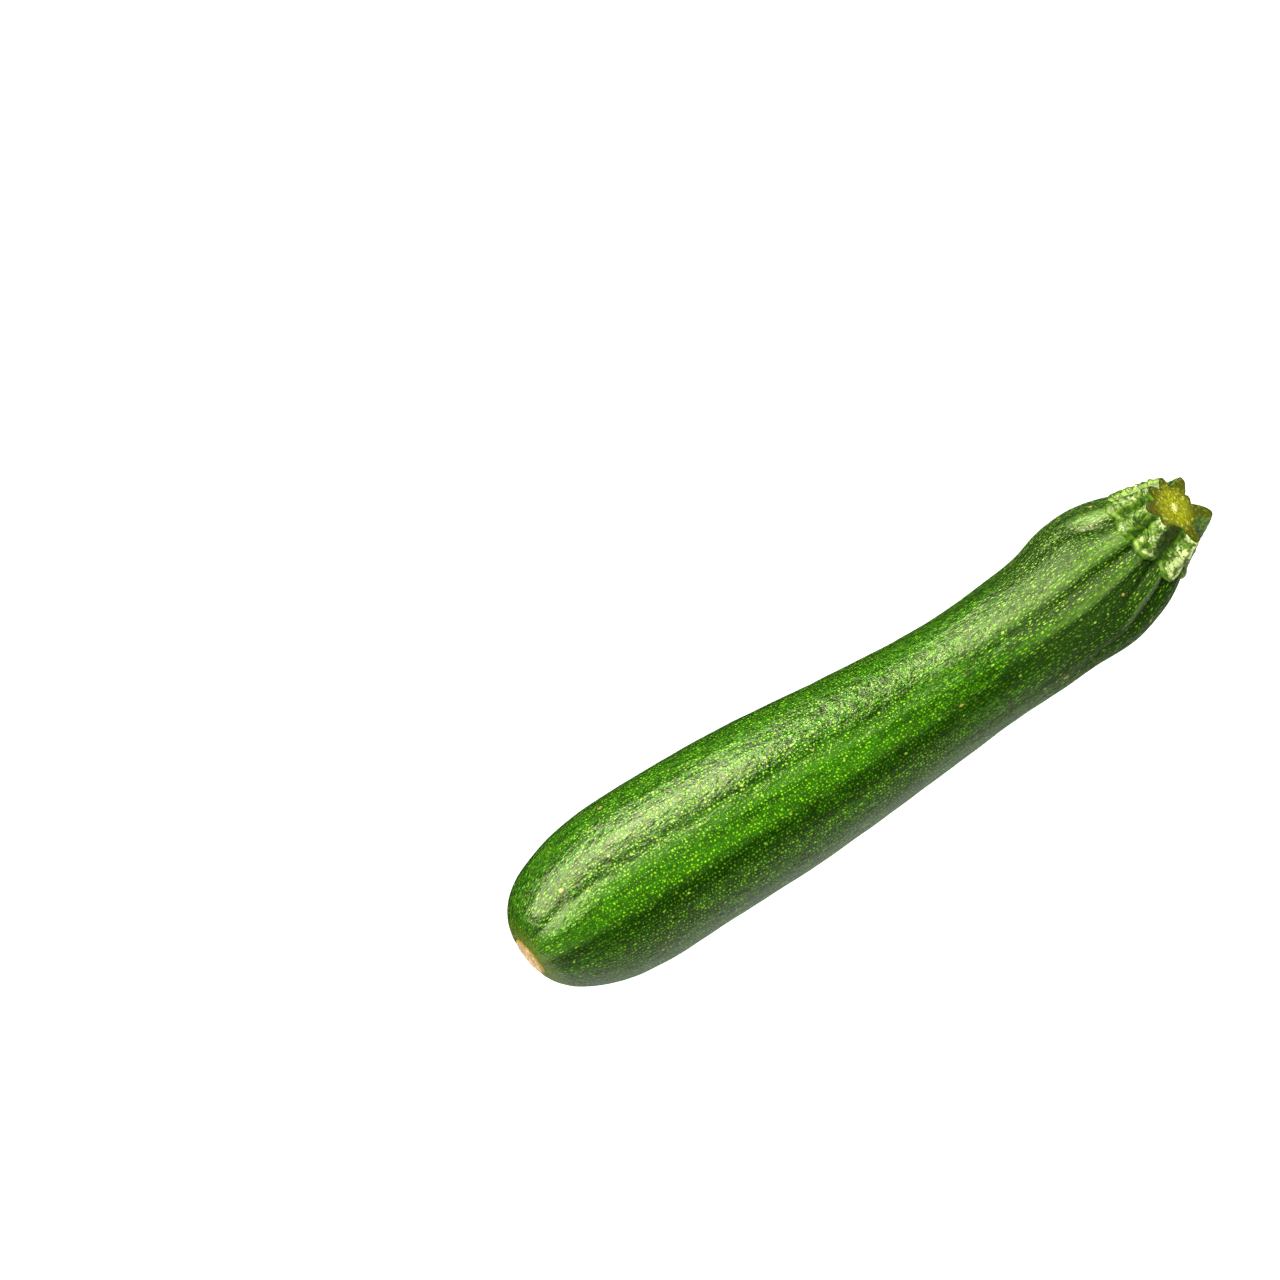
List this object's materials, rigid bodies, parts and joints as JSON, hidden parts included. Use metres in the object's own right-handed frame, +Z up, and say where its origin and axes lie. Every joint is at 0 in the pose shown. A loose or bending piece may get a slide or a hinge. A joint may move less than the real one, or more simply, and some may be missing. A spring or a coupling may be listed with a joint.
{
  "type": "zucchini",
  "caption": "Whole picked zucchini lying on its side: dark green ribbed fruit with a narrower neck, a dry blossom scar and a cut, lobed stem stub.",
  "frame": {"origin": "on the table, under the middle of the whole length and width", "axes": "+X along the fruit from the blossom scar to the stem, +Z up from the table, +Y to the left of +X"},
  "size_m": [0.1899, 0.0408, 0.0403],
  "materials": {
    "fruit": "waxy dark green skin with light specks",
    "stem": "warty light green stalk with a yellow-olive cut face"
  },
  "bodies": {
    "root": {"fruit": "fruit", "stem": "stem"}
  },
  "joints": []
}
